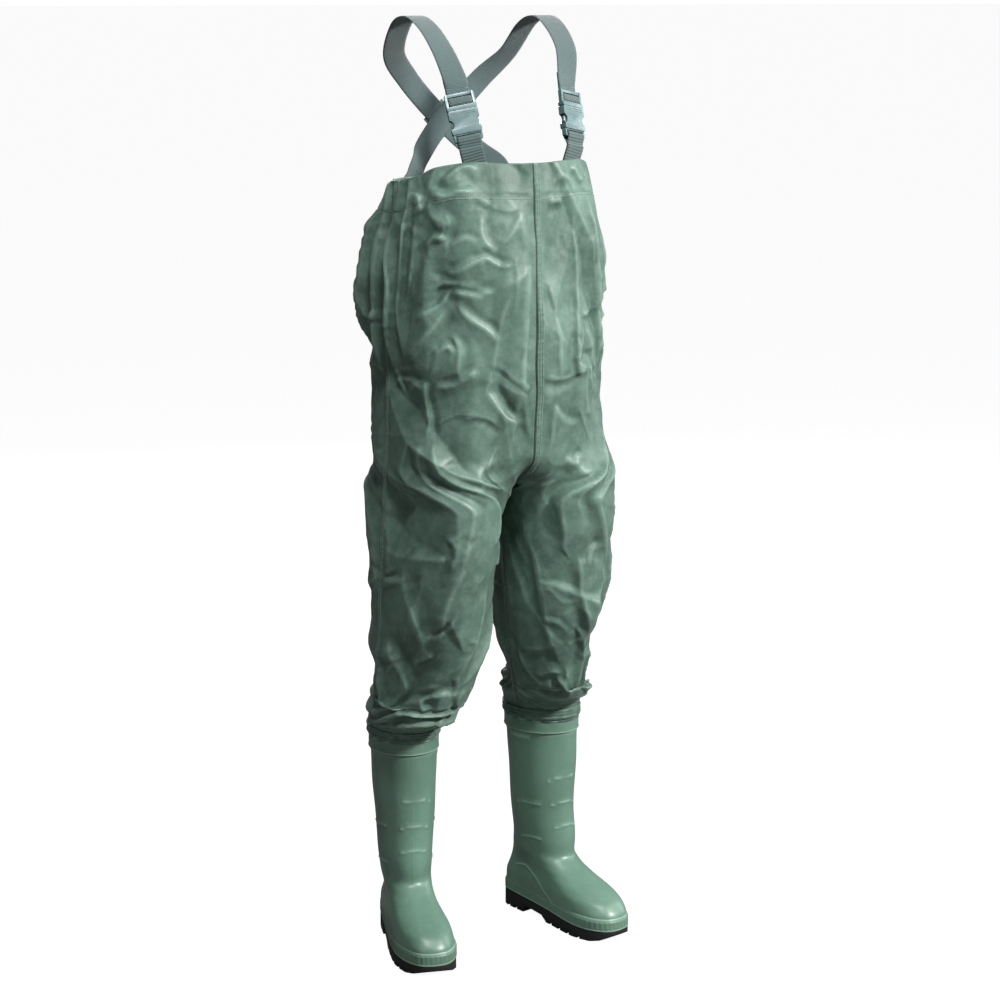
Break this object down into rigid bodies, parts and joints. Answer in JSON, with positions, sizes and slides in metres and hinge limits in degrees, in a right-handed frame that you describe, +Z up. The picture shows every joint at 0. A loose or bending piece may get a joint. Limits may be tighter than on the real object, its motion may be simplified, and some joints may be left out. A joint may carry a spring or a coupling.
{
  "type": "chest waders",
  "caption": "Green coated-fabric chest waders with moulded rubber boots, an elasticated hem, and crossed webbing braces held by side-release buckles, standing as worn.",
  "frame": {"origin": "on the floor below the middle of the bounding box, midway between the two boots", "axes": "+Z up, +X to the wearer's left, so the front of the waders faces -Y"},
  "size_m": [0.4292, 0.3361, 1.5599],
  "materials": {
    "shell_fabric": "fine woven nylon with a waterproof coating, satin",
    "seam_tape": "coated tape with two rows of stitching",
    "hem_elastic": "flat knitted elastic",
    "boot_rubber": "moulded boot plastic, satin",
    "rand_rubber": "moulded boot plastic, finely ribbed",
    "sole_rubber": "matt black rubber",
    "boot_lining": "knitted lining",
    "footbed_foam": "foam under a knitted cover",
    "brace_webbing": "ribbed woven webbing",
    "strap_patch": "stitched webbing patch",
    "buckle_plastic": "moulded acetal, satin"
  },
  "bodies": {
    "waders": {"right_front_panel": "shell_fabric", "left_front_panel": "shell_fabric", "right_back_panel": "shell_fabric", "left_back_panel": "shell_fabric", "front_hem_facing": "shell_fabric", "back_hem_facing": "shell_fabric", "chest_elastic": "hem_elastic", "front_centre_seam": "seam_tape", "back_centre_seam": "seam_tape", "right_side_seam": "seam_tape", "left_side_seam": "seam_tape", "right_inseam": "seam_tape", "left_inseam": "seam_tape", "right_leg_cuff": "seam_tape", "left_leg_cuff": "seam_tape", "right_boot_collar": "boot_rubber", "left_boot_collar": "boot_rubber", "right_boot_upper": "boot_rubber", "left_boot_upper": "boot_rubber", "right_boot_lining": "boot_lining", "left_boot_lining": "boot_lining", "right_footbed": "footbed_foam", "left_footbed": "footbed_foam", "right_boot_rand": "rand_rubber", "left_boot_rand": "rand_rubber", "right_outsole": "sole_rubber", "left_outsole": "sole_rubber", "right_strap_tab": "brace_webbing", "left_strap_tab": "brace_webbing", "right_shoulder_strap": "brace_webbing", "left_shoulder_strap": "brace_webbing", "back_strap_patch": "strap_patch", "right_buckle_socket": "buckle_plastic", "left_buckle_socket": "buckle_plastic"},
    "right_plug": {"right_buckle_plug": "buckle_plastic"},
    "right_outer_prong_arm": {"right_outer_prong": "buckle_plastic"},
    "right_inner_prong_arm": {"right_inner_prong": "buckle_plastic"},
    "left_plug": {"left_buckle_plug": "buckle_plastic"},
    "left_outer_prong_arm": {"left_outer_prong": "buckle_plastic"},
    "left_inner_prong_arm": {"left_inner_prong": "buckle_plastic"}
  },
  "joints": [
    {"name": "right_buckle_release", "type": "slide", "parent": "waders", "child": "right_plug", "axis": [-0.0735, 0.3411, 0.9371], "range_m": [0, 0.034], "deforming": ["right_shoulder_strap", "right_outer_prong", "right_inner_prong"]},
    {"name": "right_outer_prong_press", "type": "hinge", "parent": "right_plug", "child": "right_outer_prong_arm", "pos_m": [-0.11102, -0.09538, 1.40856], "axis": [-0.358, -0.8861, 0.2944], "range_deg": [0, 12], "stiffness_Nm_per_rad": 0.15},
    {"name": "right_inner_prong_press", "type": "hinge", "parent": "right_plug", "child": "right_inner_prong_arm", "pos_m": [-0.08533, -0.10404, 1.41373], "axis": [0.358, 0.8861, -0.2944], "range_deg": [0, 12], "stiffness_Nm_per_rad": 0.15},
    {"name": "left_buckle_release", "type": "slide", "parent": "waders", "child": "left_plug", "axis": [0.0735, 0.3411, 0.9371], "range_m": [0, 0.034], "deforming": ["left_shoulder_strap", "left_outer_prong", "left_inner_prong"]},
    {"name": "left_outer_prong_press", "type": "hinge", "parent": "left_plug", "child": "left_outer_prong_arm", "pos_m": [0.11102, -0.09538, 1.40856], "axis": [-0.358, 0.8861, -0.2944], "range_deg": [0, 12], "stiffness_Nm_per_rad": 0.15},
    {"name": "left_inner_prong_press", "type": "hinge", "parent": "left_plug", "child": "left_inner_prong_arm", "pos_m": [0.08533, -0.10404, 1.41373], "axis": [0.358, -0.8861, 0.2944], "range_deg": [0, 12], "stiffness_Nm_per_rad": 0.15}
  ]
}
